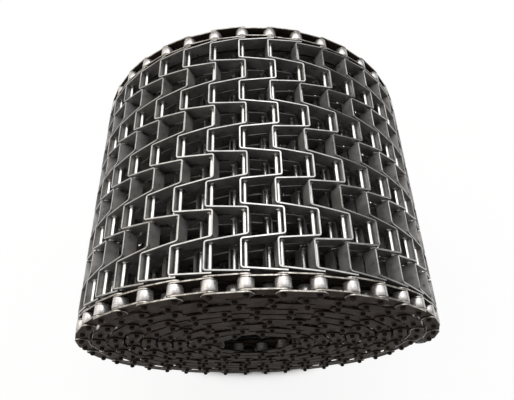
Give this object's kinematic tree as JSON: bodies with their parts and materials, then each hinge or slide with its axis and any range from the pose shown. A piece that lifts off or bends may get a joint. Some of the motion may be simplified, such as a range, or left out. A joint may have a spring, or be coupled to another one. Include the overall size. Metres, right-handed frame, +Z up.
{
  "type": "roll of chain-edge flat-wire conveyor belt",
  "caption": "Conveyor belt of square-wave flat strips hinged on cross rods, with a roller chain along each edge, wound into a roll with a free tail that unrolls.",
  "frame": {"origin": "on the floor under the centre of the roll, midway along its width", "axes": "+Y along the roll axis from the left to the right edge chain, +X towards the side where the free end hangs, +Z up"},
  "size_m": [0.3395, 0.2602, 0.3323],
  "materials": {
    "strip_steel": "cold-rolled strip steel, bright edges",
    "rod_steel": "drawn wire, bright",
    "plate_steel": "stamped chain steel, oiled dark",
    "bush_steel": "turned steel",
    "roller_steel": "tumbled steel, satin"
  },
  "bodies": {
    "coil": {"coil_strips": "strip_steel", "coil_rods": "rod_steel", "coil_pins": "rod_steel", "coil_bushes": "bush_steel", "coil_left_rollers": "roller_steel", "coil_right_rollers": "roller_steel", "coil_left_inner_plates": "plate_steel", "coil_left_outer_plates": "plate_steel", "coil_right_inner_plates": "plate_steel", "coil_right_outer_plates": "plate_steel"},
    "link_1": {"link_1_strip": "strip_steel", "link_1_plates": "plate_steel", "link_1_bushes": "bush_steel"},
    "link_2": {"link_2_strip": "strip_steel", "link_2_plates": "plate_steel", "link_2_rods": "rod_steel"},
    "link_3": {"link_3_strip": "strip_steel", "link_3_plates": "plate_steel", "link_3_bushes": "bush_steel"},
    "link_4": {"link_4_strip": "strip_steel", "link_4_plates": "plate_steel", "link_4_rods": "rod_steel"},
    "link_5": {"link_5_strip": "strip_steel", "link_5_plates": "plate_steel", "link_5_bushes": "bush_steel"},
    "link_1_left_back_roller": {"link_1_left_back_roller": "roller_steel"},
    "link_1_left_front_roller": {"link_1_left_front_roller": "roller_steel"},
    "link_1_right_back_roller": {"link_1_right_back_roller": "roller_steel"},
    "link_1_right_front_roller": {"link_1_right_front_roller": "roller_steel"},
    "link_3_left_back_roller": {"link_3_left_back_roller": "roller_steel"},
    "link_3_left_front_roller": {"link_3_left_front_roller": "roller_steel"},
    "link_3_right_back_roller": {"link_3_right_back_roller": "roller_steel"},
    "link_3_right_front_roller": {"link_3_right_front_roller": "roller_steel"},
    "link_5_left_back_roller": {"link_5_left_back_roller": "roller_steel"},
    "link_5_left_front_roller": {"link_5_left_front_roller": "roller_steel"},
    "link_5_right_back_roller": {"link_5_right_back_roller": "roller_steel"},
    "link_5_right_front_roller": {"link_5_right_front_roller": "roller_steel"}
  },
  "joints": [
    {"name": "link_1_hinge", "type": "hinge", "parent": "coil", "child": "link_1", "pos_m": [0.12613, 0, 0.26522], "axis": [0, -1, 0], "range_deg": [0, 40]},
    {"name": "link_2_hinge", "type": "hinge", "parent": "link_1", "child": "link_2", "pos_m": [0.14068, 0, 0.2444], "axis": [0, -1, 0], "range_deg": [0, 40]},
    {"name": "link_3_hinge", "type": "hinge", "parent": "link_2", "child": "link_3", "pos_m": [0.15189, 0, 0.22161], "axis": [0, -1, 0], "range_deg": [0, 40]},
    {"name": "link_4_hinge", "type": "hinge", "parent": "link_3", "child": "link_4", "pos_m": [0.15949, 0, 0.19737], "axis": [0, -1, 0], "range_deg": [0, 40]},
    {"name": "link_5_hinge", "type": "hinge", "parent": "link_4", "child": "link_5", "pos_m": [0.16333, 0, 0.17226], "axis": [0, -1, 0], "range_deg": [0, 40]},
    {"name": "link_1_left_back_roller_spin", "type": "hinge", "parent": "link_1", "child": "link_1_left_back_roller", "pos_m": [0.12613, -0.12019, 0.26522], "axis": [0, 1, 0], "continuous": true},
    {"name": "link_1_left_front_roller_spin", "type": "hinge", "parent": "link_1", "child": "link_1_left_front_roller", "pos_m": [0.14068, -0.12019, 0.2444], "axis": [0, 1, 0], "continuous": true},
    {"name": "link_1_right_back_roller_spin", "type": "hinge", "parent": "link_1", "child": "link_1_right_back_roller", "pos_m": [0.12613, 0.12019, 0.26522], "axis": [0, 1, 0], "continuous": true},
    {"name": "link_1_right_front_roller_spin", "type": "hinge", "parent": "link_1", "child": "link_1_right_front_roller", "pos_m": [0.14068, 0.12019, 0.2444], "axis": [0, 1, 0], "continuous": true},
    {"name": "link_3_left_back_roller_spin", "type": "hinge", "parent": "link_3", "child": "link_3_left_back_roller", "pos_m": [0.15189, -0.12019, 0.22161], "axis": [0, 1, 0], "continuous": true},
    {"name": "link_3_left_front_roller_spin", "type": "hinge", "parent": "link_3", "child": "link_3_left_front_roller", "pos_m": [0.15949, -0.12019, 0.19737], "axis": [0, 1, 0], "continuous": true},
    {"name": "link_3_right_back_roller_spin", "type": "hinge", "parent": "link_3", "child": "link_3_right_back_roller", "pos_m": [0.15189, 0.12019, 0.22161], "axis": [0, 1, 0], "continuous": true},
    {"name": "link_3_right_front_roller_spin", "type": "hinge", "parent": "link_3", "child": "link_3_right_front_roller", "pos_m": [0.15949, 0.12019, 0.19737], "axis": [0, 1, 0], "continuous": true},
    {"name": "link_5_left_back_roller_spin", "type": "hinge", "parent": "link_5", "child": "link_5_left_back_roller", "pos_m": [0.16333, -0.12019, 0.17226], "axis": [0, 1, 0], "continuous": true},
    {"name": "link_5_left_front_roller_spin", "type": "hinge", "parent": "link_5", "child": "link_5_left_front_roller", "pos_m": [0.16332, -0.12019, 0.14686], "axis": [0, 1, 0], "continuous": true},
    {"name": "link_5_right_back_roller_spin", "type": "hinge", "parent": "link_5", "child": "link_5_right_back_roller", "pos_m": [0.16333, 0.12019, 0.17226], "axis": [0, 1, 0], "continuous": true},
    {"name": "link_5_right_front_roller_spin", "type": "hinge", "parent": "link_5", "child": "link_5_right_front_roller", "pos_m": [0.16332, 0.12019, 0.14686], "axis": [0, 1, 0], "continuous": true}
  ]
}
